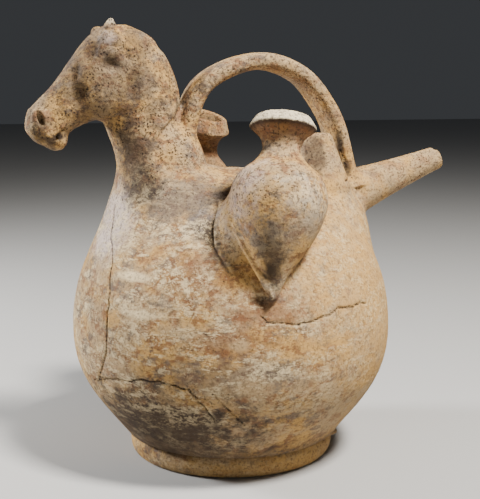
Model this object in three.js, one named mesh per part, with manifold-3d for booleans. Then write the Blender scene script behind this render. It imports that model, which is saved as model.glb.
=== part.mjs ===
// Horse-shaped askos: a thrown terracotta jar on a low foot, made into a horse by a modelled neck and
// head, a tail that is a pouring spout, a strap handle over the back, a filling neck beside the handle's
// rear root and a small pointed jar on each flank. It was joined wet and fired as one hollow piece.
// Millimetres, +Z up. The horse faces -X, and the origin is the middle of the foot's underside.
import * as THREE from "three";
import { mergeVertices } from "three/addons/utils/BufferGeometryUtils.js";
import Module from "manifold-3d";

// Driving dimensions
const FOOT = { radius: 60, height: 12, edge: 4 };
const BELLY = { radius: 92.7, height: 76 };
const BACK = { height: 167, fullness: 2.1 };
const WALL = 6;
const FLOOR = 10;
const HANDLE = { thickness: 10, breadth: 24, rootThickness: 19, rootBreadth: 34, squareness: 1.5 };
const JAR = { length: 97, belly: 25.5, wall: 4.5 };
const FILLER = { x: 49.5, y: -14, base: 127, top: 187, radius: 7.5, bore: 4.8, root: 19 };
const SPOUT = { root: 15, flare: 6, tip: 7, tipBore: 4.2, rootBore: 8 };

// Sides round each form, rings along it and points along a jar's outline
const SIDES = { jug: 36, hollow: 28, neck: 20, head: 20, handle: 12, jar: 20, tube: 16, hole: 12, lump: 12 };
const RINGS = { wall: 6, dome: 9, flare: 6, neck: 16, head: 18, handle: 22, tail: 8, bore: 2 };
const JAR_POINTS = { outside: 12, hollow: 8 };
// A lump that reaches farther than this takes as many sides as a jar.
const LARGE_LUMP = 15;

const wasm = await Module();
wasm.setup();

// Makes a closed geometry a solid that can be joined and cut.
function solid(geometry) {
  const bare = geometry.clone();
  bare.deleteAttribute("normal");
  bare.deleteAttribute("uv");
  const merged = mergeVertices(bare, 1e-3);
  return new wasm.Manifold(
    new wasm.Mesh({
      numProp: 3,
      vertProperties: merged.attributes.position.array,
      triVerts: new Uint32Array(merged.index.array),
    }),
  );
}

// Turns an outline of radius and height about +Z.
function turned(outline, sides) {
  return new THREE.LatheGeometry(outline, sides).rotateX(Math.PI / 2);
}

// A form that is symmetrical about the plane y = 0. Section(t) gives its edges in that plane, as x and z,
// to the left and right of its way along, and its breadth. Each ring runs between the edges as an
// ellipse or, with a squareness over 1, as a round-cornered box.
function limb(section, sides, rings, squareness = 1) {
  const geometry = new THREE.CylinderGeometry(1, 1, 1, sides, rings);
  const position = geometry.attributes.position;
  const squared = (v) => Math.sign(v) * Math.abs(v) ** (1 / squareness);
  for (let i = 0; i < position.count; i++) {
    const { left, right, breadth } = section(position.getY(i) + 0.5);
    const middle = left.clone().add(right).multiplyScalar(0.5);
    const reach = left.clone().sub(middle).multiplyScalar(squared(position.getX(i)));
    const across = (breadth / 2) * squared(position.getZ(i));
    position.setXYZ(i, middle.x + reach.x, across, middle.y + reach.y);
  }
  return geometry;
}

// Sections through stations of [left x, left z, right x, right z, breadth], joined by smooth curves.
function stations(rows) {
  const spline = (pick) => new THREE.SplineCurve(rows.map((row) => new THREE.Vector2(...pick(row))));
  const left = spline((row) => [row[0], row[1]]);
  const right = spline((row) => [row[2], row[3]]);
  const breadth = spline((row) => [row[4], 0]);
  return (t) => ({
    left: left.getPoint(t),
    right: right.getPoint(t),
    breadth: breadth.getPoint(t).x,
  });
}

// Sections square to a centre line, with a thickness and a breadth that change along it.
function strap(line, thickness, breadth) {
  return (t) => {
    const middle = line.getPoint(t);
    const along = line.getTangent(t);
    const out = new THREE.Vector2(-along.y, along.x).multiplyScalar(thickness(t) / 2);
    return { left: middle.clone().add(out), right: middle.clone().sub(out), breadth: breadth(t) };
  };
}

// A lump of clay: a sphere stretched along x, y and z and pressed on at a place.
function lump({ reach, place, tilt = 0 }) {
  const sides = Math.max(...reach) > LARGE_LUMP ? SIDES.jar : SIDES.lump;
  return new THREE.SphereGeometry(1, sides, sides / 2)
    .scale(...reach)
    .rotateY(tilt)
    .translate(...place);
}

// The thrown jug: foot, rising wall and dome, set in by a wall's thickness for its hollow.
function jugOutline(inset) {
  const { radius, height } = BELLY;
  const foot = inset
    ? [new THREE.Vector2(0, FLOOR), new THREE.Vector2(FOOT.radius - 2 * inset, FLOOR)]
    : [
        new THREE.Vector2(0, 0),
        new THREE.Vector2(FOOT.radius - FOOT.edge, 0),
        new THREE.Vector2(FOOT.radius - 0.8, FOOT.edge * 0.7),
        new THREE.Vector2(FOOT.radius, FOOT.height * 0.6),
        new THREE.Vector2(FOOT.radius - 1.5, FOOT.height),
      ];
  const wall = new THREE.CubicBezierCurve(
    new THREE.Vector2(FOOT.radius + 1.5 - inset, FOOT.height + 1 + inset * 0.8),
    new THREE.Vector2(radius * 0.845 - inset, height * 0.46),
    new THREE.Vector2(radius - inset, height * 0.62),
    new THREE.Vector2(radius - inset, height),
  ).getPoints(RINGS.wall);
  const dome = [];
  for (let i = 1; i < RINGS.dome; i++) {
    const angle = (i / RINGS.dome) * (Math.PI / 2);
    const out = Math.cos(angle) ** (2 / BACK.fullness);
    const up = Math.sin(angle) ** (2 / BACK.fullness);
    dome.push(new THREE.Vector2((radius - inset) * out, height + (BACK.height - height - inset) * up));
  }
  return [...foot, ...wall, ...dome, new THREE.Vector2(0, BACK.height - inset)];
}

// The neck, from the chest and withers up to the poll: its throat on the left, its crest on the right.
const neckSection = stations([
  [-78, 120, -8, 140, 84],
  [-73.5, 143, -10, 164, 74],
  [-68.5, 160, -24, 173, 52],
  [-67.5, 173, -33, 186, 38],
  [-73, 190, -31, 204, 34],
  [-80, 208, -34, 219, 34],
  [-83, 224, -41, 233, 31],
  [-80, 236, -50, 242, 25],
  [-73, 243, -62, 246.5, 11],
]);

// The head, from inside the top of the neck to the lips: its jaw on the left, its forehead and nose on
// the right. Its sides are a little flattened.
const headSection = stations([
  [-58, 216, -60, 244, 22],
  [-65, 203, -72, 246, 32],
  [-74, 196.5, -81, 241, 35],
  [-82, 194.5, -89, 232, 32],
  [-92, 190, -101, 216, 24],
  [-98, 184, -110, 206.5, 21],
  [-103.5, 180.5, -116, 200, 22],
  [-111, 183, -117.5, 192, 16],
  [-114, 186, -116, 188, 5],
]);
const HEAD_SQUARENESS = 1.15;

// The strap handle, from the withers over the back to the rump.
const handleLine = new THREE.SplineCurve(
  [
    [-30, 168],
    [-27, 195],
    [-15, 216.5],
    [15, 228],
    [42, 220.5],
    [60, 200],
    [68, 180],
    [72, 155],
  ].map((point) => new THREE.Vector2(...point)),
);
const swellAtRoots = (t) => Math.abs(2 * t - 1) ** 8;
const handleSection = strap(
  handleLine,
  (t) => THREE.MathUtils.lerp(HANDLE.thickness, HANDLE.rootThickness, swellAtRoots(t)),
  (t) => THREE.MathUtils.lerp(HANDLE.breadth, HANDLE.rootBreadth, swellAtRoots(t)),
);

// The rump, and the tail drawn out of it into a tapering spout, cut off square.
const RUMP = { place: [44, 0, 130], reach: [40, 40, 36] };
const spoutAxis = new THREE.LineCurve(new THREE.Vector2(52, 141.2), new THREE.Vector2(137.2, 169.9));
const spoutRadius = (t) => THREE.MathUtils.lerp(SPOUT.root, SPOUT.tip, t) + SPOUT.flare * (1 - t) ** 3;
const tailSection = strap(
  spoutAxis,
  (t) => 2 * spoutRadius(t),
  (t) => 2 * spoutRadius(t),
);
const spoutBore = strap(
  new THREE.LineCurve(spoutAxis.getPoint(-0.05), spoutAxis.getPoint(1.05)),
  (t) => 2 * THREE.MathUtils.lerp(SPOUT.rootBore, SPOUT.tipBore, t),
  (t) => 2 * THREE.MathUtils.lerp(SPOUT.rootBore, SPOUT.tipBore, t),
);

// A pointed jar's outline from its tip to its lip, and its hollow back down from the mouth.
function jarOutline({ lip, lipHeight, neck }) {
  const { length, belly } = JAR;
  const body = new THREE.SplineCurve(
    [
      [2.4, 1.2],
      [5.8, length * 0.11],
      [11, length * 0.2],
      [17.5, length * 0.3],
      [22.6, length * 0.41],
      [belly, length * 0.54],
      [22.6, length * 0.66],
      [14, length * 0.745],
      [neck, length * 0.81],
      [neck + 2.2, length * 0.875],
      [lip - 0.6, length - lipHeight - 0.6],
    ].map((point) => new THREE.Vector2(...point)),
  ).getPoints(JAR_POINTS.outside);
  return [
    new THREE.Vector2(0, 0),
    ...body,
    new THREE.Vector2(lip, length - lipHeight + 0.4),
    new THREE.Vector2(lip - 3.8, length - 0.8),
    new THREE.Vector2(lip - 5.2, length),
    new THREE.Vector2(0, length),
  ];
}

function jarHollow({ lip, neck }) {
  const { length, belly, wall } = JAR;
  const inside = new THREE.SplineCurve(
    [
      [2, length * 0.27],
      [11, length * 0.39],
      [belly - wall, length * 0.55],
      [16, length * 0.69],
      [neck - wall + 1.2, length * 0.8],
      [lip * 0.5, length * 0.9],
      [lip * 0.62, length],
      [lip * 0.66, length + 1],
    ].map((point) => new THREE.Vector2(...point)),
  ).getPoints(JAR_POINTS.hollow);
  return [new THREE.Vector2(0, length * 0.26), ...inside, new THREE.Vector2(0, length + 1)];
}

// Where each jar stands, its tip on the belly and the middle of its mouth, and its own hand-made neck.
const JARS = [
  { tip: [-10.3, -89.5, 105.5], mouth: [6.5, -63.5, 199.5], lip: 17.7, lipHeight: 6, neck: 10.2 },
  { tip: [-9.5, 90, 104.5], mouth: [6, 61, 195.5], lip: 16.6, lipHeight: 8, neck: 11.6 },
];

function placed(geometry, { tip, mouth }) {
  const from = new THREE.Vector3(...tip);
  const axis = new THREE.Vector3(...mouth).sub(from).normalize();
  const turn = new THREE.Quaternion().setFromUnitVectors(new THREE.Vector3(0, 0, 1), axis);
  return geometry.applyQuaternion(turn).translate(...tip);
}

// The web of clay that fills the wedge between each jar and the flank, thickest on the head's side.
const WEB = { place: [-10, 65, 132], reach: [20, 17, 31], tilt: -0.25 };

// The collar of clay that beds the handle's front root on the back of the neck.
const COLLAR = { place: [-38, 0, 163], reach: [22, 24, 32] };

// Small work on the head: ear stumps, eyes, cheeks, chin, nostrils and the mouth.
const EARS = [
  { place: [-71.5, -8, 244], reach: [4, 3.6, 6] },
  { place: [-75, 8, 242.3], reach: [3.6, 3.6, 3.8] },
];
const EYE = { place: [-73.5, 14.4, 230.5], reach: [5.6, 3.2, 4], tilt: 0.5 };
const CHEEK = { place: [-76.5, 8, 212.5], reach: [14, 9.6, 15.5] };
const CHIN = { place: [-101, 0, 184.6], reach: [6, 8, 5.8] };
const NOSTRIL = { place: [-111.3, 10, 196.3], reach: [2.8, 4, 4], tilt: -0.5 };
const MOUTH = { from: [-108, 176.5], to: [-101, 190], gap: 1.5, breadth: 40 };

function mouthSlit() {
  const [x0, z0] = MOUTH.from;
  const [x1, z1] = MOUTH.to;
  return new THREE.BoxGeometry(Math.hypot(x1 - x0, z1 - z0), MOUTH.breadth, MOUTH.gap)
    .rotateY(-Math.atan2(z1 - z0, x1 - x0))
    .translate((x0 + x1) / 2, 0, (z0 + z1) / 2);
}

// The filling neck flares out of the back and is bored straight down into the jug.
function fillerOutline() {
  const { base, top, radius, root } = FILLER;
  const flare = new THREE.QuadraticBezierCurve(
    new THREE.Vector2(root, BACK.height - 10),
    new THREE.Vector2(radius + 4.5, top - 11),
    new THREE.Vector2(radius, top - 1),
  ).getPoints(RINGS.flare);
  return [
    new THREE.Vector2(0, base),
    new THREE.Vector2(root, base),
    ...flare,
    new THREE.Vector2(radius - 1, top),
    new THREE.Vector2(0, top),
  ];
}

// Everything pressed together, then hollowed.
const bothSides = (make) => [make(-1), make(1)];
const onSide = ({ place: [x, y, z], ...form }, side) => lump({ place: [x, side * y, z], ...form });

const clay = [
  turned(jugOutline(0), SIDES.jug),
  limb(neckSection, SIDES.neck, RINGS.neck),
  limb(headSection, SIDES.head, RINGS.head, HEAD_SQUARENESS),
  limb(handleSection, SIDES.handle, RINGS.handle, HANDLE.squareness),
  limb(tailSection, SIDES.tube, RINGS.tail),
  turned(fillerOutline(), SIDES.tube).translate(FILLER.x, FILLER.y, 0),
  ...JARS.map((jar) => placed(turned(jarOutline(jar), SIDES.jar), jar)),
  ...bothSides((side) => onSide(WEB, side)),
  ...[RUMP, COLLAR, CHIN, ...EARS].map(lump),
  ...bothSides((side) => onSide(EYE, side)),
  ...bothSides((side) => onSide(CHEEK, side)),
].map(solid);

const boreTop = FILLER.top + 1;
const fillerBore = new THREE.CylinderGeometry(FILLER.bore, FILLER.bore, boreTop - FILLER.base, SIDES.hole)
  .rotateX(Math.PI / 2)
  .translate(FILLER.x, FILLER.y, (boreTop + FILLER.base) / 2);

const hollows = [
  turned(jugOutline(WALL), SIDES.hollow),
  fillerBore,
  limb(spoutBore, SIDES.hole, RINGS.bore),
  ...JARS.map((jar) => placed(turned(jarHollow(jar), SIDES.tube), jar)),
  ...bothSides((side) => onSide(NOSTRIL, side)),
  mouthSlit(),
].map(solid);

const fired = wasm.Manifold.union(clay).subtract(wasm.Manifold.union(hollows));

const { vertProperties, triVerts } = fired.getMesh();
const geometry = new THREE.BufferGeometry()
  .setAttribute("position", new THREE.BufferAttribute(vertProperties, 3))
  .setIndex(new THREE.BufferAttribute(triVerts, 1));
geometry.computeVertexNormals();

const askos = new THREE.Mesh(
  geometry,
  new THREE.MeshStandardMaterial({ color: 0xb08d66, roughness: 0.88, metalness: 0 }),
);
askos.name = "askos";

const part = new THREE.Group();
part.add(askos);
export default part;
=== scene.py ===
import math

import bpy
import numpy as np
import openvdb
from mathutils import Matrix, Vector


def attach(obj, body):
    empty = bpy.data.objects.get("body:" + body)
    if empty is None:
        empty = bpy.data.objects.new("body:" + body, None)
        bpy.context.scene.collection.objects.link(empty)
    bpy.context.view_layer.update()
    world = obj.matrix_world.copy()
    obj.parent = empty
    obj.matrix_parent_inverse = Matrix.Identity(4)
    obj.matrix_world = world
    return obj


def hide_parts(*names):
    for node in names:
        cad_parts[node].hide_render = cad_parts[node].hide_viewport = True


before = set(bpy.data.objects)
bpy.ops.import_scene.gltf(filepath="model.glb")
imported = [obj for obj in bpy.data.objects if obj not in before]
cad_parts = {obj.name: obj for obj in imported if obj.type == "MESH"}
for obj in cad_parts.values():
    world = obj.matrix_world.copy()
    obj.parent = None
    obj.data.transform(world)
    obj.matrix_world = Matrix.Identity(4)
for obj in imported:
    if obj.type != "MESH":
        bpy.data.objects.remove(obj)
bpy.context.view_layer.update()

# The clay
# One hollow piece of fired clay. A thrown jug, modelled limbs and small turned jars were pressed together
# while wet. Here they are joined the same way, as soft bodies in a block of clay that is sampled all over.
MM = 0.001
CELL = 0.8
BAND = 14.0
BLOCK_LOW = np.array([-128, -112, -6])
BLOCK_HIGH = np.array([150, 112, 260])

block_start = np.floor(BLOCK_LOW / CELL).astype(int)
block_size = np.ceil((BLOCK_HIGH - BLOCK_LOW) / CELL).astype(int)
clay = np.full(block_size, BAND, dtype=np.float32)


def within_block(low, high):
    """The part of the block between two corners, as a first cell and a slice along each axis."""
    first = np.maximum(np.floor(np.asarray(low) / CELL).astype(int), block_start)
    last = np.minimum(np.ceil(np.asarray(high) / CELL).astype(int), block_start + block_size)
    return first, tuple(slice(a, b) for a, b in zip(first - block_start, last - block_start))


def body(rings):
    """Distance from the closed skin through a row of rings, less than nothing inside it."""
    rings = np.asarray(rings, dtype=np.float64)
    count, sides = rings.shape[:2]
    points = np.vstack([rings.reshape(-1, 3), rings[0].mean(axis=0), rings[-1].mean(axis=0)])
    ring, side = np.meshgrid(np.arange(count - 1), np.arange(sides), indexing="ij")
    after = (side + 1) % sides
    start = ring * sides + side
    beside = ring * sides + after
    corners = [start, beside, beside + sides, start + sides]
    quads = np.stack([corner.ravel() for corner in corners], axis=1)
    rim = np.arange(sides)
    rim_after = (rim + 1) % sides
    far = (count - 1) * sides
    near_cap = np.stack([np.full(sides, count * sides), rim_after, rim], axis=1)
    far_cap = np.stack([np.full(sides, count * sides + 1), far + rim, far + rim_after], axis=1)
    grid = openvdb.FloatGrid.createLevelSetFromPolygons(
        points.astype(np.float32),
        triangles=np.vstack([near_cap, far_cap]).astype(np.uint32),
        quads=quads.astype(np.uint32),
        transform=openvdb.createLinearTransform(CELL),
        halfWidth=BAND / CELL,
    )
    first, place = within_block(points.min(axis=0) - BAND, points.max(axis=0) + BAND)
    distance = np.empty(clay[place].shape, dtype=np.float32)
    grid.copyToArray(distance, ijk=tuple(int(i) for i in first))
    return distance, place


def lump(place, reach, tilt=0.0):
    """Distance from an egg-shaped lump, tilted about the y axis."""
    spread = max(reach) + BAND
    first, region = within_block(np.array(place) - spread, np.array(place) + spread)
    size = clay[region].shape
    axes = [(first[i] + np.arange(size[i])) * CELL - place[i] for i in range(3)]
    x, y, z = np.meshgrid(*axes, indexing="ij", sparse=True)
    along = x * math.cos(tilt) - z * math.sin(tilt)
    upward = x * math.sin(tilt) + z * math.cos(tilt)
    out = np.sqrt((along / reach[0]) ** 2 + (y / reach[1]) ** 2 + (upward / reach[2]) ** 2)
    slope = np.sqrt((along / reach[0] ** 2) ** 2 + (y / reach[1] ** 2) ** 2 + (upward / reach[2] ** 2) ** 2)
    return (out * (out - 1) / np.maximum(slope, 1e-6)).astype(np.float32), region


def thread(points, radius):
    """Distance from a round thread along a row of points."""
    points = np.asarray(points, dtype=np.float64)
    spread = radius + BAND / 2
    first, region = within_block(points.min(axis=0) - spread, points.max(axis=0) + spread)
    axes = [(first[i] + np.arange(size)) * CELL for i, size in enumerate(clay[region].shape)]
    spots = np.stack(np.meshgrid(*axes, indexing="ij"), axis=-1)
    nearest = np.full(spots.shape[:3], BAND)
    for start, end in zip(points, points[1:]):
        along = end - start
        share = np.clip((spots - start) @ along / (along @ along), 0, 1)
        nearest = np.minimum(nearest, np.linalg.norm(spots - start - share[..., None] * along, axis=-1))
    return (nearest - radius).astype(np.float32), region


def soft_least(a, b, softness):
    """The lesser of two distances, rounded where they meet."""
    share = np.clip(0.5 + 0.5 * (b - a) / softness, 0, 1)
    return b + (a - b) * share - softness * share * (1 - share)


def press(form, softness):
    """Presses a form on. The joint is smoothed over about the softness."""
    distance, place = form
    clay[place] = soft_least(clay[place], distance, softness)


def carve(form, softness):
    """Takes a form out. The edge is rounded over about the softness."""
    distance, place = form
    clay[place] = -soft_least(-clay[place], distance, softness)


def through(points, steps):
    """Points on a smooth curve through the given ones, as many steps apart as asked."""
    points = np.asarray(points, dtype=np.float64)
    where = np.linspace(0, len(points) - 1, steps + 1)
    i = np.minimum(where.astype(int), len(points) - 2)
    f = (where - i)[:, None]
    p0 = points[np.maximum(i - 1, 0)]
    p1 = points[i]
    p2 = points[i + 1]
    p3 = points[np.minimum(i + 2, len(points) - 1)]
    v1 = (p2 - p0) / 2
    v2 = (p3 - p1) / 2
    return (2 * p1 - 2 * p2 + v1 + v2) * f**3 + (-3 * p1 + 3 * p2 - 2 * v1 - v2) * f**2 + v1 * f + p1


def turned(outline, sides):
    """Rings of an outline of radius and height, turned about the z axis."""
    angle = np.linspace(0, 2 * math.pi, sides, endpoint=False)
    outline = np.asarray(outline, dtype=np.float64)
    return np.stack(
        [
            outline[:, :1] * np.cos(angle),
            outline[:, :1] * np.sin(angle),
            np.repeat(outline[:, 1:], sides, axis=1),
        ],
        axis=2,
    )


def limb(left, right, breadth, sides, squareness=1.0):
    """Rings across the plane y = 0 between a left and a right edge, with a breadth along y."""
    angle = np.linspace(0, 2 * math.pi, sides, endpoint=False)
    across = np.sign(np.cos(angle)) * np.abs(np.cos(angle)) ** (1 / squareness)
    aside = np.sign(np.sin(angle)) * np.abs(np.sin(angle)) ** (1 / squareness)
    middle = (left + right) / 2
    reach = (left - right) / 2
    return np.stack(
        [
            middle[:, :1] + reach[:, :1] * across,
            np.asarray(breadth).reshape(-1, 1) / 2 * aside,
            middle[:, 1:] + reach[:, 1:] * across,
        ],
        axis=2,
    )


def strap(line, thickness, breadth, sides, squareness=1.0):
    """Rings square to a line in the plane y = 0."""
    along = np.gradient(line, axis=0)
    along /= np.linalg.norm(along, axis=1, keepdims=True)
    out = np.stack([-along[:, 1], along[:, 0]], axis=1) * np.asarray(thickness).reshape(-1, 1) / 2
    return limb(line + out, line - out, breadth, sides, squareness)


# The jug
# It was thrown on the wheel: a low foot with a groove above it, a full belly and a closed round back.
FOOT_RADIUS = 60.0
FOOT_HEIGHT = 12.0
BELLY_RADIUS = 92.7
BELLY_HEIGHT = 76.0
BACK_HEIGHT = 167.0
BACK_FULLNESS = 2.1
WALL = 6.0
FLOOR = 10.0
JUG_SIDES = 144


def jug_outline(inset):
    """The jug from the middle of its underside to the top of its back, set in for the hollow."""
    if inset:
        foot = [(0.5, FLOOR), (FOOT_RADIUS - 2 * inset, FLOOR)]
    else:
        foot = [
            (0.5, 0),
            (FOOT_RADIUS - 4, 0),
            (FOOT_RADIUS - 1.9, 0.9),
            (FOOT_RADIUS - 0.6, 3),
            (FOOT_RADIUS, 6.6),
            (FOOT_RADIUS - 0.5, 9.6),
            (FOOT_RADIUS - 1.6, FOOT_HEIGHT - 0.6),
            (FOOT_RADIUS - 3.4, FOOT_HEIGHT + 0.6),
        ]
    start = np.array([FOOT_RADIUS + 1.5 - inset, FOOT_HEIGHT + 1 + 0.8 * inset])
    low = np.array([0.845 * BELLY_RADIUS - inset, 0.46 * BELLY_HEIGHT])
    high = np.array([BELLY_RADIUS - inset, 0.62 * BELLY_HEIGHT])
    widest = np.array([BELLY_RADIUS - inset, BELLY_HEIGHT])
    t = np.linspace(0, 1, 30)[:, None]
    wall = (1 - t) ** 3 * start + 3 * (1 - t) ** 2 * t * low + 3 * (1 - t) * t**2 * high + t**3 * widest
    angle = np.linspace(0, math.pi / 2, 50)[1:-1]
    out = (BELLY_RADIUS - inset) * np.cos(angle) ** (2 / BACK_FULLNESS)
    up = BELLY_HEIGHT + (BACK_HEIGHT - BELLY_HEIGHT - inset) * np.sin(angle) ** (2 / BACK_FULLNESS)
    return np.vstack([foot, wall, np.stack([out, up], axis=1), [(0.5, BACK_HEIGHT - inset)]])


press(body(turned(jug_outline(0), JUG_SIDES)), 0.5)

# The neck and the head
# They are solid clay, modelled by hand and bedded on the front of the jug: a deep arched neck with a thin
# crest, full round cheeks, a long nose, bulging eyes under heavy brows and two broken stumps of ears.
NECK = [
    (-78, 120, -8, 140, 84),
    (-73.5, 143, -10, 164, 74),
    (-68.5, 160, -24, 173, 52),
    (-67.5, 173, -33, 186, 38),
    (-73, 190, -31, 204, 34),
    (-80, 208, -34, 219, 34),
    (-83, 224, -41, 233, 31),
    (-80, 236, -50, 242, 25),
    (-73, 243, -62, 246.5, 11),
]
HEAD = [
    (-58, 216, -60, 244, 22),
    (-65, 203, -72, 246, 32),
    (-74, 196.5, -81, 241, 35),
    (-82, 194.5, -89, 232, 32),
    (-92, 190, -101, 216, 24),
    (-98, 184, -110, 206.5, 21),
    (-103.5, 180.5, -116, 200, 22),
    (-111, 183, -117.5, 192, 16),
    (-114, 186, -116, 188, 5),
]
LIMB_STEPS = 96
LIMB_SIDES = 72
HEAD_SQUARENESS = 1.15
NEAR = -1
FAR = 1


def modelled(rows, steps, sides, squareness=1.0):
    """Rings of a limb from rows of left x and z, right x and z, and breadth."""
    rows = through(rows, steps)
    return limb(rows[:, 0:2], rows[:, 2:4], rows[:, 4], sides, squareness)


press(body(modelled(NECK, LIMB_STEPS, LIMB_SIDES)), 9)
press(body(modelled(HEAD, LIMB_STEPS, LIMB_SIDES, HEAD_SQUARENESS)), 5)
lower_lip = lump((-101, 0, 184.6), (6, 8, 5.8))
press(lower_lip, 2.5)
for side in (NEAR, FAR):
    cheek = lump((-76.5, side * 8, 212.5), (14, 9.6, 15.5))
    brow = lump((-78.4, side * 13.2, 235.5), (2.2, 3.4, 8.4), 0.4)
    eyelid = lump((-70.8, side * 13.6, 236.6), (6.5, 2.6, 2.2), -0.1)
    eye = lump((-72.8, side * 15, 231), (4.6, 2.9, 3.2))
    nostril_rim = lump((-110.6, side * 8.2, 196.4), (4.6, 3.6, 6.4), -0.3)
    before_brow = lump((-83.6, side * 15.6, 233), (3.2, 5.2, 8.5), 0.4)
    under_eye = lump((-73.4, side * 19.8, 224.8), (8.5, 5, 2.8), 0.2)
    behind_eye = lump((-64.8, side * 19.6, 230.5), (3.2, 5, 5.5))
    temple = lump((-92.8, side * 13.4, 219.6), (2.2, 5, 7.5), 0.35)
    before_cheek = lump((-93.5, side * 15.4, 208), (5.5, 5, 7.5), 0.35)
    behind_cheek = lump((-62.4, side * 19.6, 213), (3.2, 5, 11), 0.25)
    nostril = lump((-111.2, side * 11.4, 196.4), (1.9, 4, 4.2), -0.3)
    press(cheek, 4)
    press(brow, 2)
    for hollow in (before_brow, under_eye, behind_eye, temple, before_cheek, behind_cheek):
        carve(hollow, 2.5)
    press(eyelid, 1.5)
    press(eye, 1)
    press(nostril_rim, 1.6)
    carve(nostril, 0.9)
MOUTH_SIDE = [(-97.8, -9.2, 190.4), (-101.6, -8.4, 187), (-103.8, -4.8, 183.8), (-105.2, 0, 181.6)]
mouth_line = MOUTH_SIDE + [(x, -y, z) for x, y, z in MOUTH_SIDE[-2::-1]]
near_ear = lump((-71.8, -8, 243.6), (4, 3.2, 4.6))
ear_tip = lump((-71.6, -8, 247.4), (1.9, 2, 2.6), 0.2)
far_ear = lump((-75.2, 8, 242.4), (3.6, 3.6, 3.8))
crest_notch = lump((-41.5, 0, 236.5), (2.6, 14, 3))
carve(thread(mouth_line, 1.1), 0.8)
press(near_ear, 1.8)
press(ear_tip, 1)
press(far_ear, 1.8)
carve(crest_notch, 2.5)

# The handle
# A strap of clay laid over the back, from a collar on the neck to the rump. It swells where it is pressed
# on, and the collar ends in a step on each side of the neck.
HANDLE = [(-30, 168), (-27, 195), (-15, 216.5), (15, 228), (42, 220.5), (60, 200), (68, 180), (72, 155)]
HANDLE_STEPS = 120
STRAP_THICKNESS = 10
STRAP_BREADTH = 24
ROOT_THICKER = 9
ROOT_BROADER = 10
STRAP_SIDES = 60
STRAP_SQUARENESS = 1.5
strap_line = through(HANDLE, HANDLE_STEPS)
root_swell = np.abs(np.linspace(-1, 1, HANDLE_STEPS + 1)) ** 8
strap_thickness = STRAP_THICKNESS + ROOT_THICKER * root_swell
strap_breadth = STRAP_BREADTH + ROOT_BROADER * root_swell
strap_rings = strap(strap_line, strap_thickness, strap_breadth, STRAP_SIDES, STRAP_SQUARENESS)
collar = lump((-38, 0, 163), (22, 25.2, 32.6))
rump = lump((44, 0, 130), (40, 40, 36))
press(collar, 1.4)
press(rump, 12)
press(body(strap_rings), 2.5)
for side in (NEAR, FAR):
    collar_step = [
        (-51, side * 20, 179),
        (-48.6, side * 18.6, 184),
        (-45.4, side * 17.2, 188.6),
        (-38, side * 13.4, 195),
    ]
    strap_crevice = lump((-33.4, side * 13, 200.5), (1.7, 8, 8), 0.4)
    carve(thread(collar_step, 1.5), 0.8)
    carve(strap_crevice, 0.8)

# The tail and the filling neck
# The tail is a tapering tube, drawn out of the rump and cut off square, that pours. The vessel is filled
# through a short cone pressed on beside the rear end of the handle.
TAIL_ROOT = np.array([52, 141.2])
TAIL_TIP = np.array([137.2, 169.9])
TAIL_RADII = (15, 7)
TAIL_FLARE = 6
TAIL_SIDES = 48
FILLER_PLACE = np.array([49.5, -14, 0])
FILLER_SIDES = 48
FILLER = [
    (0.5, 127),
    (19, 127),
    (19, 157),
    (15.6, 165),
    (12.8, 172),
    (10.4, 178),
    (9, 182),
    (7.8, 185),
    (6.2, 186.6),
    (4, 187),
    (0.5, 187),
]
tail_share = np.linspace(0, 1, 41)
tail_line = TAIL_ROOT + (TAIL_TIP - TAIL_ROOT) * tail_share[:, None]
tail_taper = TAIL_RADII[0] + (TAIL_RADII[1] - TAIL_RADII[0]) * tail_share
tail_width = 2 * (tail_taper + TAIL_FLARE * (1 - tail_share) ** 3)
press(body(strap(tail_line, tail_width, tail_width, TAIL_SIDES)), 5)
press(body(turned(FILLER, FILLER_SIDES) + FILLER_PLACE), 3)

# The jars on the flanks
# Two small turned jars with pointed feet lean against the flanks, and webs of clay fill the wedges.
JAR_LENGTH = 97.0
JAR_BELLY = 25.5
JAR_WALL = 4.5
JAR_SIDES = 72
JARS = [
    {
        "tip": (-10.3, -89.5, 105.5),
        "mouth": (6.5, -63.5, 199.5),
        "lip": 17.7,
        "lip_height": 6,
        "neck": 10.2,
    },
    {
        "tip": (-9.5, 90, 104.5),
        "mouth": (6, 61, 195.5),
        "lip": 16.6,
        "lip_height": 8,
        "neck": 11.6,
    },
]


def jar_outline(lip, lip_height, neck):
    """A jar from its tip to the middle of its mouth."""
    rise = JAR_LENGTH * np.array([0.012, 0.11, 0.2, 0.3, 0.41, 0.54, 0.66, 0.745, 0.81, 0.86, 0.893])
    radius = [2.4, 5.8, 11, 17.5, 22.6, JAR_BELLY, 22.6, 14, neck, neck + 0.6, neck + 2.4]
    side = np.vstack([np.stack([radius, rise], axis=1), [(lip - 0.6, JAR_LENGTH - lip_height - 0.6)]])
    rim = [
        (lip, JAR_LENGTH - lip_height + 0.4),
        (lip - 3.5, JAR_LENGTH - 0.4),
        (lip - 4.4, JAR_LENGTH),
        (0.3, JAR_LENGTH),
    ]
    return np.vstack([[(0.3, 0)], through(side, 80), rim])


def jar_hollow(lip, neck):
    """The hollow of a jar, from its floor out through its mouth."""
    rise = JAR_LENGTH * np.array([0.27, 0.39, 0.55, 0.69, 0.8, 0.9, 1, 1.04])
    radius = [2, 11, JAR_BELLY - JAR_WALL, 16, neck - JAR_WALL + 1.2, 0.5 * lip, 0.62 * lip, 0.68 * lip]
    return through(np.stack([radius, rise], axis=1), 60)


def stood(rings, jar):
    """Stands a turned form on its tip, leaning towards its mouth."""
    axis = np.array(jar["mouth"]) - np.array(jar["tip"])
    axis = axis / np.linalg.norm(axis)
    u = np.cross((0, 1, 0), axis)
    u /= np.linalg.norm(u)
    v = np.cross(axis, u)
    return rings @ np.stack([u, v, axis]) + np.array(jar["tip"])


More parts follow.
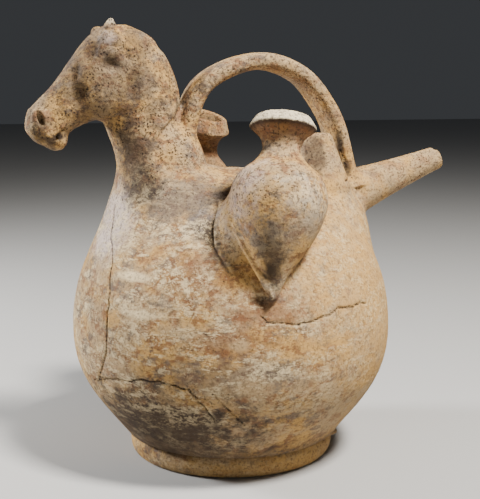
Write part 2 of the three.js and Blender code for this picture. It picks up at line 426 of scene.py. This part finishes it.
for side, jar in zip((NEAR, FAR), JARS):
    web = lump((-10, side * 65, 132), (20, 17, 31), -0.25)
    jar_rings = turned(jar_outline(jar["lip"], jar["lip_height"], jar["neck"]), JAR_SIDES)
    press(web, 6)
    press(body(stood(jar_rings, jar)), 2.5)
    web_edge = [
        (-23.5, 47.5, 152),
        (-28, 55.5, 145.1),
        (-30.6, 60.7, 139.5),
        (-32, 66.7, 132.6),
        (-30.5, 71.1, 127.4),
        (-27, 77.5, 119),
    ]
    web_seam = [(x - 2.4, side * y, z) for x, y, z in web_edge]
    web_ridge = [(x + 0.6, side * y, z) for x, y, z in web_edge]
    flank_ridge = [
        (-24.8, side * 76.5, 143.8),
        (-22.1, side * 79.6, 134.8),
        (-17.8, side * 82.6, 125.1),
        (-14.9, side * 87.2, 117.6),
        (-11.6, side * 91.6, 108.8),
    ]
    press(thread(web_ridge[:4], 1.7), 2)
    press(thread(web_ridge[3:], 0.9), 2)
    carve(thread(web_seam[:4], 1.5), 1)
    carve(thread(web_seam[3:], 0.9), 1)
    under_tip = lump((-18.5, side * 90.6, 106), (7, 5.4, 3.6), -0.6)
    press(thread(flank_ridge, 1.9), 1.2)
    carve(under_tip, 1.2)

# The near jar's lip is ragged along its lower edge, and its neck is chipped.
LIP_CHIPS = 30
chance = np.random.default_rng(11)
near_jar = JARS[0]
chip_angle = chance.uniform(0, 2 * math.pi, LIP_CHIPS)
chip_height = JAR_LENGTH - near_jar["lip_height"] - 0.4
chip_out = near_jar["lip"]
chip_ring = [(chip_out * math.cos(a), chip_out * math.sin(a), chip_height) for a in chip_angle]
for place in stood(np.array([chip_ring]), near_jar)[0]:
    chip = lump(place - (0, 0, 0.8), chance.uniform(0.8, 1.6, 3))
    carve(chip, 0.3)
neck_chip = lump((-8.3, -70, 189.5), (2.4, 2.6, 1.6), 0.5)
neck_scratch = thread([(1.5, -79.6, 187), (4.6, -79, 186.4), (12, -75.2, 183)], 0.5)
carve(neck_chip, 0.6)
carve(neck_scratch, 0.5)

# The hollows
# The jug is empty, with a thin wall of even thickness. The filling neck and the tail open into it, and each
# jar has a hollow of its own.
TAIL_BORE = (8, 4.2)
FILLER_BORE = 4.8
BORE_SIDES = 36
JAR_HOLLOW_SIDES = 60
filler_bore = [(FILLER_BORE, height) for height in (127, 140, 175, 189)]
carve(body(turned(jug_outline(WALL), JUG_SIDES)), 1.5)
carve(body(turned(filler_bore, BORE_SIDES) + FILLER_PLACE), 1)
bore_share = np.linspace(-0.05, 1.05, 20)
bore_line = TAIL_ROOT + (TAIL_TIP - TAIL_ROOT) * bore_share[:, None]
bore_width = 2 * (TAIL_BORE[0] + (TAIL_BORE[1] - TAIL_BORE[0]) * np.clip(bore_share, 0, 1))
carve(body(strap(bore_line, bore_width, bore_width, BORE_SIDES)), 0.8)
for jar in JARS:
    hollow_rings = turned(jar_hollow(jar["lip"], jar["neck"]), JAR_HOLLOW_SIDES)
    carve(body(stood(hollow_rings, jar)), 1)

# Broken and open places
# The tail's upper edge is broken back, and the filling neck has come away from the handle. A crumb of clay
# sits in the groove above the foot.
tail_break = lump((134.5, -3, 178.5), (6, 7, 3.6), 0.3)
handle_gap = thread([(61, -11.2, 186), (65.5, -12, 176.4), (67.6, -12.8, 170.6), (67.4, -14.2, 164.7)], 0.9)
foot_crumb = lump((48.2, -35.6, 13.2), (5, 4, 1.5))
carve(tail_break, 0.6)
carve(handle_gap, 0.8)
press(foot_crumb, 2)

# The skin of the clay
# The surface of the block becomes one closed mesh.
skin_grid = openvdb.FloatGrid(BAND)
skin_grid.transform = openvdb.createLinearTransform(CELL)
skin_grid.copyFromArray(clay, ijk=tuple(int(i) for i in block_start), tolerance=0.01)
skin_points, _, skin_quads = skin_grid.convertToPolygons(isovalue=0, adaptivity=0)
skin_quads = np.asarray(skin_quads)

vessel_mesh = bpy.data.meshes.new("vessel")
vessel_mesh.vertices.add(len(skin_points))
vessel_mesh.vertices.foreach_set("co", (np.asarray(skin_points, dtype=np.float32) * MM).ravel())
vessel_mesh.loops.add(skin_quads.size)
vessel_mesh.loops.foreach_set("vertex_index", skin_quads.ravel().astype(np.int32))
vessel_mesh.polygons.add(len(skin_quads))
vessel_mesh.polygons.foreach_set("loop_start", np.arange(0, skin_quads.size, 4, dtype=np.int32))
vessel_mesh.update(calc_edges=True)
vessel_mesh.validate()
vessel = bpy.data.objects.new("vessel", vessel_mesh)
bpy.context.scene.collection.objects.link(vessel)

# The worn surface
# Throwing left faint rings on the jug, hands left dents, and burial and wear left a gritty skin and
# cracks. The cracks run along these lines on the near side, given as x, y and z.
CRACKS = {
    "chest": [
        (-71, -8, 149),
        (-73, -15, 133),
        (-75, -22, 126),
        (-78, -28, 119),
        (-81, -35, 105),
        (-83, -38, 91),
        (-84, -38, 77),
        (-85, -34, 66),
        (-86, -26, 56),
    ],
    "low": [
        (-87, -19, 54),
        (-85, -29, 56),
        (-82, -38, 59),
        (-76, -49, 60),
        (-69, -59, 62),
        (-63, -66, 63),
        (-55, -72, 61),
        (-50, -75, 59),
        (-47, -76, 56),
        (-42, -76, 49),
        (-36, -75, 42),
    ],
    "front": [(-40, -81, 58), (-35, -81, 53), (-29, -81, 47), (-21, -78, 38)],
    "rear": [
        (-16, -89, 98),
        (-12, -90, 95),
        (-2, -91, 94),
        (9, -90, 93),
        (21, -88, 96),
        (32, -84, 98),
        (39, -81, 98),
        (50, -74, 98),
    ],
    "handle": [(65, -11, 176), (67, -12, 171), (67, -14, 165), (61, -28, 159)],
}
CRACK_STEPS = 4
CRACK_WANDER = 0.5
wander = np.random.default_rng(5)

crack_points = []
crack_edges = []
for line in CRACKS.values():
    steps = CRACK_STEPS * (len(line) - 1)
    ragged = through(line, steps) + wander.normal(0, CRACK_WANDER, (steps + 1, 3))
    crack_edges += [(len(crack_points) + i, len(crack_points) + i + 1) for i in range(steps)]
    crack_points += [tuple(point * MM) for point in ragged]
crack_mesh = bpy.data.meshes.new("crack lines")
crack_mesh.from_pydata(crack_points, crack_edges, [])
crack_lines = bpy.data.objects.new("crack lines", crack_mesh)


def linked(tree, kind, settings=None, **inputs):
    """Adds a node, sets it up and joins or fills its inputs, named with _ for a space."""
    node = tree.nodes.new(kind)
    for name, value in (settings or {}).items():
        setattr(node, name, value)
    for name, value in inputs.items():
        socket = node.inputs[int(name[1:])] if name[1:].isdigit() else node.inputs[name.replace("_", " ")]
        if isinstance(value, bpy.types.NodeSocket):
            tree.links.new(value, socket)
        else:
            socket.default_value = value
    return node


def figure(tree, operation, *values):
    """A sum on numbers."""
    inputs = {f"i{i}": value for i, value in enumerate(values)}
    return linked(tree, "ShaderNodeMath", {"operation": operation}, **inputs).outputs[0]


def arrow(tree, operation, *values, out=0):
    """A sum on vectors."""
    inputs = {f"i{i}": value for i, value in enumerate(values)}
    return linked(tree, "ShaderNodeVectorMath", {"operation": operation}, **inputs).outputs[out]


def graded(tree, value, low, high, to_low=0.0, to_high=1.0):
    """A value passed smoothly from one range to another."""
    settings = {"interpolation_type": "SMOOTHSTEP"}
    node = linked(tree, "ShaderNodeMapRange", settings, Value=value, From_Min=low, From_Max=high)
    node.inputs["To Min"].default_value = to_low
    node.inputs["To Max"].default_value = to_high
    return node.outputs[0]


def grain(tree, place, scale, detail=3.0, rough=0.55):
    """Noise over a place, from 0 to 1."""
    inputs = {"Vector": place, "Scale": scale, "Detail": detail, "Roughness": rough}
    return linked(tree, "ShaderNodeTexNoise", **inputs).outputs[0]


wear = bpy.data.node_groups.new("Worn clay", "GeometryNodeTree")
WEAR_INPUTS = {
    "Dent Depth": 0.9 * MM,
    "Ring Depth": 0.36 * MM,
    "Grit Depth": 0.28 * MM,
    "Crack Depth": 0.9 * MM,
    "Crack Width": 0.7 * MM,
}
wear.interface.new_socket("Geometry", in_out="INPUT", socket_type="NodeSocketGeometry")
wear.interface.new_socket("Geometry", in_out="OUTPUT", socket_type="NodeSocketGeometry")
for name in WEAR_INPUTS:
    wear.interface.new_socket(name, in_out="INPUT", socket_type="NodeSocketFloat")
wear.interface.new_socket("Crack Lines", in_out="INPUT", socket_type="NodeSocketObject")
wear.interface.new_socket("Material", in_out="INPUT", socket_type="NodeSocketMaterial")
given = wear.nodes.new("NodeGroupInput")
here = linked(wear, "GeometryNodeInputPosition").outputs[0]
facing = linked(wear, "GeometryNodeInputNormal").outputs[0]
crack_shape = linked(wear, "GeometryNodeObjectInfo", Object=given.outputs["Crack Lines"])
on_skin = linked(wear, "GeometryNodeProximity", {"target_element": "FACES"}, i0=given.outputs["Geometry"])
laid = linked(
    wear,
    "GeometryNodeSetPosition",
    Geometry=crack_shape.outputs["Geometry"],
    Position=on_skin.outputs["Position"],
)
nearest = linked(wear, "GeometryNodeProximity", {"target_element": "EDGES"}, i0=laid.outputs[0])
dents = figure(wear, "SUBTRACT", grain(wear, here, 28.0, 1.0), 0.5)
split = linked(wear, "ShaderNodeSeparateXYZ", Vector=here)
ring_place = linked(wear, "ShaderNodeCombineXYZ", Z=split.outputs["Z"]).outputs[0]
rings = figure(wear, "SUBTRACT", grain(wear, ring_place, 260.0, 2.0), 0.5)
from_axis = arrow(wear, "LENGTH", arrow(wear, "MULTIPLY", here, (1, 1, 0)), out=1)
on_jug = figure(
    wear,
    "MULTIPLY",
    graded(wear, from_axis, 0.045, 0.06),
    graded(wear, split.outputs["Z"], 0.15, 0.11),
)
rings = figure(wear, "MULTIPLY", rings, on_jug)
crumbly_top = graded(wear, split.outputs["Z"], 0.155, 0.185, 1.0, 3.0)
crumbly_front = graded(wear, split.outputs["X"], -0.05, -0.03, 1.0, 0.35)
crumbly = figure(wear, "MULTIPLY", crumbly_top, crumbly_front)
grit = figure(wear, "SUBTRACT", grain(wear, here, 420.0, 3.0, 0.6), 0.5)
grit = figure(wear, "MULTIPLY", grit, crumbly)
groove = graded(wear, nearest.outputs["Distance"], 0.0, given.outputs["Crack Width"], 1.0, 0.0)
rise = figure(wear, "MULTIPLY", dents, given.outputs["Dent Depth"])
rise = figure(wear, "ADD", rise, figure(wear, "MULTIPLY", rings, given.outputs["Ring Depth"]))
rise = figure(wear, "ADD", rise, figure(wear, "MULTIPLY", grit, given.outputs["Grit Depth"]))
rise = figure(wear, "SUBTRACT", rise, figure(wear, "MULTIPLY", groove, given.outputs["Crack Depth"]))
off_underside = graded(wear, split.outputs["Z"], 0.5 * MM, 4 * MM)
rise = figure(wear, "MULTIPLY", rise, off_underside)
offset = linked(wear, "ShaderNodeVectorMath", {"operation": "SCALE"}, i0=facing, Scale=rise)
raised = linked(
    wear,
    "GeometryNodeSetPosition",
    Geometry=given.outputs["Geometry"],
    Offset=offset.outputs[0],
)
stored = linked(
    wear,
    "GeometryNodeStoreNamedAttribute",
    {"data_type": "FLOAT_VECTOR", "domain": "POINT"},
    Geometry=raised.outputs[0],
    Name="from crack",
    Value=arrow(wear, "SUBTRACT", here, nearest.outputs["Position"]),
)
whole = linked(wear, "GeometryNodeRealizeInstances", Geometry=stored.outputs[0])
dressed = linked(
    wear,
    "GeometryNodeSetMaterial",
    Geometry=whole.outputs[0],
    Material=given.outputs["Material"],
)
wear.links.new(dressed.outputs[0], wear.nodes.new("NodeGroupOutput").inputs[0])


# The colour of the clay, with painted light and shade
# Buff clay fired unevenly, with chalky streaks from burial, orange and grey stains, and dark pits; some
# patches are painted shade and painted highlight.
def tone(red, green, blue):
    """A colour of the clay from screen values out of 255, as light."""
    values = np.array([red, green, blue]) / 255
    light = np.where(values <= 0.04045, values / 12.92, ((values + 0.055) / 1.055) ** 2.4)
    return (*(float(value) for value in light), 1.0)


BUFF = tone(164, 138, 102)
OCHRE = tone(178, 140, 82)
RUST = tone(114, 73, 47)
CHALK = tone(224, 208, 176)
CREAM = tone(214, 193, 152)
ASH = tone(94, 85, 78)
UMBER = tone(70, 56, 45)
# This dark tone serves for soot-dark dirt and also for painted shade in crevices and under overhangs.
SOOT_AND_PAINTED_SHADE = tone(38, 32, 28)
LILAC = tone(198, 182, 174)
PIT = tone(44, 32, 25)

# Each patch has its middle and reach in millimetres, how ragged and how strong it is, and its colour. Most
# are stains; the ones marked below are painted shade and painted highlight.
STAINS_AND_PAINTED_LIGHT = [
    ((55, -55, 105), (64, 62, 66), 0.9, 0.7, OCHRE),
    # Partly dark staining, partly painted shade: the lower front of the jug on the near side is darkened
    # where it lies in shade.
    ((-58, -48, 32), (78, 72, 36), 0.5, 0.9, UMBER),
    ((-60, -52, 34), (58, 52, 20), 1.1, 0.6, SOOT_AND_PAINTED_SHADE),
    # Partly pale chalky colour, partly a painted highlight where light from the left falls on the chest.
    ((-76, -12, 140), (24, 24, 26), 0.4, 0.8, LILAC),
    ((-40, -40, 153), (34, 26, 16), 0.9, 0.75, ASH),
    ((-36, -57, 140), (11, 16, 18), 0.8, 0.75, ASH),
    ((-34, -60, 136), (7, 14, 13), 1.0, 0.6, SOOT_AND_PAINTED_SHADE),
    ((-48, -66, 118), (26, 26, 14), 1.0, 0.6, RUST),
    ((-14, -84, 100), (24, 20, 12), 1.0, 0.6, RUST),
    ((-26, -84, 84), (40, 16, 10), 1.0, 0.5, RUST),
    ((-30, -84, 66), (46, 24, 14), 0.9, 0.55, ASH),
    ((-70, -46, 115), (13, 16, 3.4), 0.3, 0.9, CREAM),
    ((-69, -58, 97), (16, 16, 3), 0.6, 0.8, CREAM),
    ((-27, -88, 84), (7, 9, 4.6), 0.35, 0.9, BUFF),
    ((-20, -89, 61), (12, 9, 8), 0.5, 0.9, BUFF),
    ((-10, -91, 69), (8, 9, 6), 0.7, 0.8, ASH),
    ((-38, -80, 60), (9, 12, 10), 0.6, 0.6, BUFF),
    ((10, -50, 5), (76, 40, 9), 0.5, 0.55, OCHRE),
    ((0, 72, 160), (40, 40, 45), 0.6, 0.5, RUST),
    # Partly a lilac tint, partly a painted highlight where light from the left falls on the near jar's left
    # shoulder.
    ((-30, -74, 166), (20, 32, 28), 1.0, 0.35, LILAC),
    ((4, -92, 158), (18, 16, 14), 0.9, 0.45, CHALK),
    # Painted shadow of the near jar's neck on the left side of the filling neck.
    ((43, -25, 176), (9, 10, 16), 0.6, 0.75, UMBER),
    # Painted shade in the gap between the filling neck and the handle.
    ((64, -13, 177), (4, 6, 14), 0.4, 0.9, SOOT_AND_PAINTED_SHADE),
    ((68, -13, 166), (3.5, 6, 7), 0.4, 0.8, SOOT_AND_PAINTED_SHADE),
    # Partly dark stain, partly painted shade on the downward-facing lower part of the near jar.
    ((-13, -96, 130), (8, 12, 18), 0.7, 0.85, UMBER),
    ((-10, -95, 118), (7, 10, 12), 0.7, 0.6, SOOT_AND_PAINTED_SHADE),
    ((-4, -94, 146), (20, 14, 13), 1.0, 0.5, ASH),
    ((-80, -10, 220), (50, 30, 46), 1.0, 0.6, UMBER),
    # Painted shade in the crevice beside the handle strap at the back of the neck.
    ((-34, -13, 200), (3.5, 7, 9), 0.3, 0.9, SOOT_AND_PAINTED_SHADE),
    ((-112, -6, 186), (8, 14, 8), 0.9, 0.6, SOOT_AND_PAINTED_SHADE),
    ((-92, -12, 213), (8, 9, 15), 1.0, 0.5, UMBER),
    # Painted shade in the hollow under the near eye.
    ((-73, -18, 224.6), (11, 9, 5), 0.9, 0.4, SOOT_AND_PAINTED_SHADE),
    ((-83, -15, 234), (5, 8, 9), 0.9, 0.5, UMBER),
    ((-75, -14, 241), (6, 8, 8), 1.0, 0.2, LILAC),
    ((-108, 0, 183), (10, 14, 7), 0.9, 0.6, UMBER),
    ((-101.6, -8.4, 187), (3.4, 4, 2.4), 0.4, 0.85, SOOT_AND_PAINTED_SHADE),
    ((-71.5, -8, 249), (5, 5, 3), 0.4, 0.5, CHALK),
    # Painted shadow of the head on the front of the neck and the chest, over some dark stain.
    ((-62.5, -14, 175), (11, 11, 24), 0.5, 0.85, UMBER),
    ((-60, -24, 159), (13, 15, 16), 0.5, 0.85, SOOT_AND_PAINTED_SHADE),
    # Painted shade in the groove between the near cheek and the neck.
    ((-62, -16, 212), (5, 8, 16), 0.9, 0.3, UMBER),
    # Painted shadow of the near jar's tip on the body below it.
    ((-17, -91, 106), (9, 8, 5), 0.5, 0.85, SOOT_AND_PAINTED_SHADE),
    ((-14, 0, 216), (14, 16, 12), 0.9, 0.5, UMBER),
    # Painted shade on the underside of the rear arch of the handle.
    ((46, 0, 212), (26, 16, 9), 0.9, 0.45, UMBER),
]

patch_mask = bpy.data.node_groups.new("Patch mask", "ShaderNodeTree")
patch_mask.interface.new_socket("Middle", in_out="INPUT", socket_type="NodeSocketVector")
patch_mask.interface.new_socket("Reach", in_out="INPUT", socket_type="NodeSocketVector")
patch_mask.interface.new_socket("Ragged", in_out="INPUT", socket_type="NodeSocketFloat")
patch_mask.interface.new_socket("Strength", in_out="INPUT", socket_type="NodeSocketFloat")
patch_mask.interface.new_socket("Mask", in_out="OUTPUT", socket_type="NodeSocketFloat")
told = patch_mask.nodes.new("NodeGroupInput")
spot = linked(patch_mask, "ShaderNodeTexCoord").outputs["Object"]
away = arrow(patch_mask, "SUBTRACT", spot, told.outputs["Middle"])
away = arrow(patch_mask, "LENGTH", arrow(patch_mask, "DIVIDE", away, told.outputs["Reach"]), out=1)
torn = figure(patch_mask, "SUBTRACT", grain(patch_mask, spot, 130.0, 5.0, 0.65), 0.5)
away = figure(patch_mask, "MULTIPLY_ADD", figure(patch_mask, "MULTIPLY", torn, told.outputs["Ragged"]), 3.0, away)
mask = figure(patch_mask, "MULTIPLY", graded(patch_mask, away, 0.4, 1.1, 1.0, 0.0), told.outputs["Strength"])
patch_mask.links.new(mask, patch_mask.nodes.new("NodeGroupOutput").inputs["Mask"])

terracotta = bpy.data.materials.new("weathered terracotta")
terracotta.use_nodes = True
tree = terracotta.node_tree
shader = tree.nodes["Principled BSDF"]
shader.inputs["Specular IOR Level"].default_value = 0.2
spot = linked(tree, "ShaderNodeTexCoord").outputs["Object"]
spot_parts = linked(tree, "ShaderNodeSeparateXYZ", Vector=spot)
level = spot_parts.outputs["Z"]
ahead = spot_parts.outputs["X"]


def washed(under, over, share):
    """One colour washed over another."""
    settings = {"data_type": "RGBA", "blend_type": "MIX"}
    node = linked(tree, "ShaderNodeMix", settings, i0=share)
    for socket, colour in ((node.inputs[6], under), (node.inputs[7], over)):
        if isinstance(colour, bpy.types.NodeSocket):
            tree.links.new(colour, socket)
        else:
            socket.default_value = colour
    return node.outputs[2]


# Rust and ash mottle the buff ground, less towards the tail. The stains and the patches of painted shade
# and highlight lie over them.
streaked = arrow(tree, "MULTIPLY", spot, (1.0, 1.0, 2.8))
layered = arrow(tree, "MULTIPLY", spot, (1.0, 1.0, 1.5))
fine = grain(tree, spot, 520.0, 4.0, 0.65)
colour = washed(BUFF, OCHRE, graded(tree, grain(tree, spot, 42.0, 5.0, 0.6), 0.42, 0.6))
rust = graded(tree, grain(tree, layered, 110.0, 9.0, 0.76), 0.5, 0.57)
colour = washed(colour, RUST, figure(tree, "MULTIPLY", rust, graded(tree, ahead, 0.0, 0.06, 0.75, 0.45)))
ash = graded(tree, grain(tree, arrow(tree, "ADD", layered, (0.7, 0.3, 0.1)), 80.0, 9.0, 0.76), 0.52, 0.6)
colour = washed(colour, ASH, figure(tree, "MULTIPLY", ash, graded(tree, ahead, 0.0, 0.06, 0.75, 0.3)))
for middle, reach, ragged, strength, stain_and_painted_light_colour in STAINS_AND_PAINTED_LIGHT:
    node = linked(tree, "ShaderNodeGroup", {"node_tree": patch_mask}, Ragged=ragged, Strength=strength)
    node.inputs["Middle"].default_value = [value * MM for value in middle]
    node.inputs["Reach"].default_value = [value * MM for value in reach]
    colour = washed(colour, stain_and_painted_light_colour, node.outputs["Mask"])

# Chalk lies in crumbly bands and smears on the jug, and hardly on the near jar.
bands = graded(tree, grain(tree, arrow(tree, "ADD", streaked, (0.2, 0.9, 0.4)), 26.0, 4.0, 0.6), 0.4, 0.6)
crumbs = graded(tree, grain(tree, layered, 170.0, 9.0, 0.8), 0.5, 0.56)
specks = graded(tree, grain(tree, layered, 420.0, 6.0, 0.75), 0.53, 0.58)
crumbs = figure(tree, "MAXIMUM", crumbs, figure(tree, "MULTIPLY", specks, 0.7))
smears = graded(tree, grain(tree, streaked, 70.0, 9.0, 0.78), 0.55, 0.59)
chalk = figure(tree, "MULTIPLY", crumbs, bands)
chalk = figure(tree, "MAXIMUM", chalk, figure(tree, "MULTIPLY", smears, 0.8))
chalk = figure(tree, "MULTIPLY", chalk, graded(tree, level, 0.17, 0.13, 0.1, 0.85))
chalk = figure(tree, "MULTIPLY", chalk, graded(tree, ahead, -0.02, 0.04, 1.0, 0.5))
# Chalk also thins out low on the jug, partly so that the painted shade there stays dark.
chalk = figure(tree, "MULTIPLY", chalk, graded(tree, level, 0.025, 0.07, 0.25, 1.0))
clean = linked(tree, "ShaderNodeGroup", {"node_tree": patch_mask}, Ragged=0.5, Strength=0.8)
clean.inputs["Middle"].default_value = (-0.008, -0.085, 0.148)
clean.inputs["Reach"].default_value = (0.042, 0.042, 0.066)
chalk = figure(tree, "MULTIPLY", chalk, figure(tree, "SUBTRACT", 1.0, clean.outputs["Mask"]))
colour = washed(colour, CREAM, chalk)

# Painted shade darkens the groove above the foot.
foot_shade_low = graded(tree, level, 0.0105, 0.0125)
foot_shade_top = graded(tree, figure(tree, "MULTIPLY_ADD", fine, -0.016, level), 0.016, 0.002)
groove = figure(tree, "MULTIPLY", foot_shade_low, foot_shade_top)
colour = washed(colour, UMBER, figure(tree, "MULTIPLY", groove, 0.75))

# The near jar has a rusty neck, darkened further as painted shade under its lip, painted shade along the
# underside of its lip, and a chalky lip.
NEAR_TIP = tuple(np.array(near_jar["tip"]) * MM)
near_lean = np.array(near_jar["mouth"]) - np.array(near_jar["tip"])
NEAR_AXIS = tuple(near_lean / np.linalg.norm(near_lean))
lip_rise = arrow(tree, "DOT_PRODUCT", arrow(tree, "SUBTRACT", spot, NEAR_TIP), NEAR_AXIS, out=1)
lip_rise = figure(tree, "MULTIPLY_ADD", fine, 1.6 * MM, lip_rise)
on_near = graded(tree, spot_parts.outputs["Y"], -0.036, -0.04)
neck_rust_and_painted_shade = figure(tree, "MULTIPLY", graded(tree, lip_rise, 0.079, 0.09), on_near)
colour = washed(colour, RUST, figure(tree, "MULTIPLY", neck_rust_and_painted_shade, 0.7))
lip_underside_painted_shade = figure(tree, "MULTIPLY", graded(tree, lip_rise, 0.0885, 0.0912), on_near)
colour = washed(colour, SOOT_AND_PAINTED_SHADE, figure(tree, "MULTIPLY", lip_underside_painted_shade, 0.8))
lip_chalk = figure(tree, "MULTIPLY", graded(tree, lip_rise, 0.0913, 0.0922), on_near)
colour = washed(colour, CHALK, figure(tree, "MULTIPLY", lip_chalk, 0.8))

# Fine dirt and pits gather on the handle, the head and the front. The cracks are dark all along.
grimy = graded(tree, level, 0.12, 0.19, 0.5, 0.85)
off_lip = figure(tree, "SUBTRACT", 1.0, figure(tree, "MULTIPLY", lip_chalk, 0.2))
grimy = figure(tree, "MULTIPLY", grimy, off_lip)
dirt = graded(tree, grain(tree, spot, 640.0, 5.0, 0.72), 0.51, 0.6)
colour = washed(colour, UMBER, figure(tree, "MULTIPLY", dirt, grimy))
bent = linked(tree, "ShaderNodeTexNoise", Vector=spot, Scale=900.0, Detail=2.0).outputs["Color"]
bent = arrow(tree, "MULTIPLY_ADD", bent, (1.6 * MM, 1.6 * MM, 1.6 * MM), spot)
pitted = linked(tree, "ShaderNodeTexVoronoi", Vector=bent, Scale=640.0, Randomness=1.0)
pit_size = linked(tree, "ShaderNodeSeparateColor", Color=pitted.outputs["Color"]).outputs["Red"]
pit_size = graded(tree, pit_size, 0.15, 1.0, 0.0, 0.4)
pit_size = figure(tree, "MULTIPLY", pit_size, graded(tree, level, 0.13, 0.18, 0.5, 1.0))
pit_size = figure(tree, "MULTIPLY", pit_size, graded(tree, ahead, -0.035, -0.01, 1.0, 0.75))
pit_patches = graded(tree, grain(tree, spot, 70.0, 2.0), 0.35, 0.6, 0.4, 1.1)
pit_size = figure(tree, "MULTIPLY", pit_size, pit_patches)
pit = graded(tree, figure(tree, "SUBTRACT", pitted.outputs["Distance"], pit_size), -0.06, 0.02, 1.0, 0.0)
colour = washed(colour, PIT, figure(tree, "MULTIPLY", pit, 0.85))
crack_away = linked(tree, "ShaderNodeAttribute", {"attribute_name": "from crack"}).outputs["Vector"]
crack_away = arrow(tree, "LENGTH", crack_away, out=1)
crack_away = figure(tree, "MULTIPLY_ADD", fine, 0.9 * MM, crack_away)
crack = graded(tree, crack_away, 0.75 * MM, 1.15 * MM, 1.0, 0.0)
colour = washed(colour, PIT, figure(tree, "MULTIPLY", crack, 0.9))
tree.links.new(colour, shader.inputs["Base Color"])
tree.links.new(graded(tree, fine, 0.3, 0.7, 0.82, 0.97), shader.inputs["Roughness"])

# The finest relief: grain, pits, cracks and a little chalk.
relief = figure(tree, "MULTIPLY", grain(tree, spot, 190.0, 4.0), 0.8)
relief = figure(tree, "MULTIPLY_ADD", fine, 0.5, relief)
relief = figure(tree, "MULTIPLY_ADD", pit, -0.8, relief)
relief = figure(tree, "MULTIPLY_ADD", crack, -0.7, relief)
relief = figure(tree, "MULTIPLY_ADD", chalk, 0.2, relief)
relief = figure(tree, "MULTIPLY", relief, graded(tree, level, 0.15, 0.19, 1.0, 1.7))
bump = linked(tree, "ShaderNodeBump", Strength=0.9, Distance=0.9 * MM, Height=relief)
tree.links.new(bump.outputs[0], shader.inputs["Normal"])

# The wear and the colour go on the vessel, and its mesh is thinned.
wear_modifier = vessel.modifiers.new("Worn clay", "NODES")
wear_modifier.node_group = wear
settings = {**WEAR_INPUTS, "Crack Lines": crack_lines, "Material": terracotta}
for socket in wear.interface.items_tree:
    if socket.in_out == "INPUT" and socket.name in settings:
        wear_modifier[socket.identifier] = settings[socket.name]

VESSEL_TRIANGLES = 186000
thinner = vessel.modifiers.new("Thinned", "DECIMATE")
thinner.ratio = VESSEL_TRIANGLES / (2 * len(skin_quads))
worn = vessel.evaluated_get(bpy.context.evaluated_depsgraph_get())
vessel_mesh = bpy.data.meshes.new_from_object(worn)
vessel.modifiers.clear()
vessel.data = vessel_mesh
vessel_mesh.shade_smooth()
bpy.data.objects.remove(crack_lines)

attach(vessel, "root")
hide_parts("askos")

# The stage
# A plain pale floor, soft lamps and a camera at the height of the vessel's head.
FLOOR_REACH = 6.0
floor_corners = [(x * FLOOR_REACH, y * FLOOR_REACH, 0) for x, y in ((-1, -1), (1, -1), (1, 1), (-1, 1))]
floor_mesh = bpy.data.meshes.new("floor")
floor_mesh.from_pydata(floor_corners, [], [(0, 1, 2, 3)])
floor = bpy.data.objects.new("floor", floor_mesh)
bpy.context.scene.collection.objects.link(floor)
floor_paint = bpy.data.materials.new("pale floor")
floor_paint.use_nodes = True
floor_shader = floor_paint.node_tree.nodes["Principled BSDF"]
floor_shader.inputs["Base Color"].default_value = (0.4, 0.395, 0.385, 1)
floor_shader.inputs["Roughness"].default_value = 0.8
floor_mesh.materials.append(floor_paint)

world = bpy.data.worlds.new("studio")
world.use_nodes = True
world.node_tree.nodes["Background"].inputs["Color"].default_value = (0.8, 0.85, 0.92, 1)
world.node_tree.nodes["Background"].inputs["Strength"].default_value = 0.05
bpy.context.scene.world = world


def lamp(name, place, target, size, power, colour=(1, 1, 1)):
    """A soft square lamp that looks at a point."""
    data = bpy.data.lights.new(name, "AREA")
    data.size = size
    data.energy = power
    data.color = colour
    holder = bpy.data.objects.new(name, data)
    holder.location = place
    holder.rotation_euler = (Vector(target) - Vector(place)).to_track_quat("-Z", "Y").to_euler()
    bpy.context.scene.collection.objects.link(holder)


VESSEL_MIDDLE = (0, 0, 0.12)
lamp("key", (0.28, -0.52, 1.05), VESSEL_MIDDLE, 0.2, 40, (1, 0.96, 0.9))
lamp("rim", (-0.78, 0.5, 0.45), VESSEL_MIDDLE, 0.2, 20)
lamp("fill", (-0.3, -1.2, 0.3), VESSEL_MIDDLE, 0.8, 1.2)

CAMERA_PLACE = (-0.2052, -0.5638, 0.2117)
CAMERA_LOOK = (0.34633, 0.92555, -0.15299)
camera_data = bpy.data.cameras.new("camera")
camera_data.lens = 74.47
camera_data.sensor_width = 36
camera = bpy.data.objects.new("camera", camera_data)
camera.location = CAMERA_PLACE
camera.rotation_euler = Vector(CAMERA_LOOK).to_track_quat("-Z", "Y").to_euler()
bpy.context.scene.collection.objects.link(camera)
bpy.context.scene.camera = camera
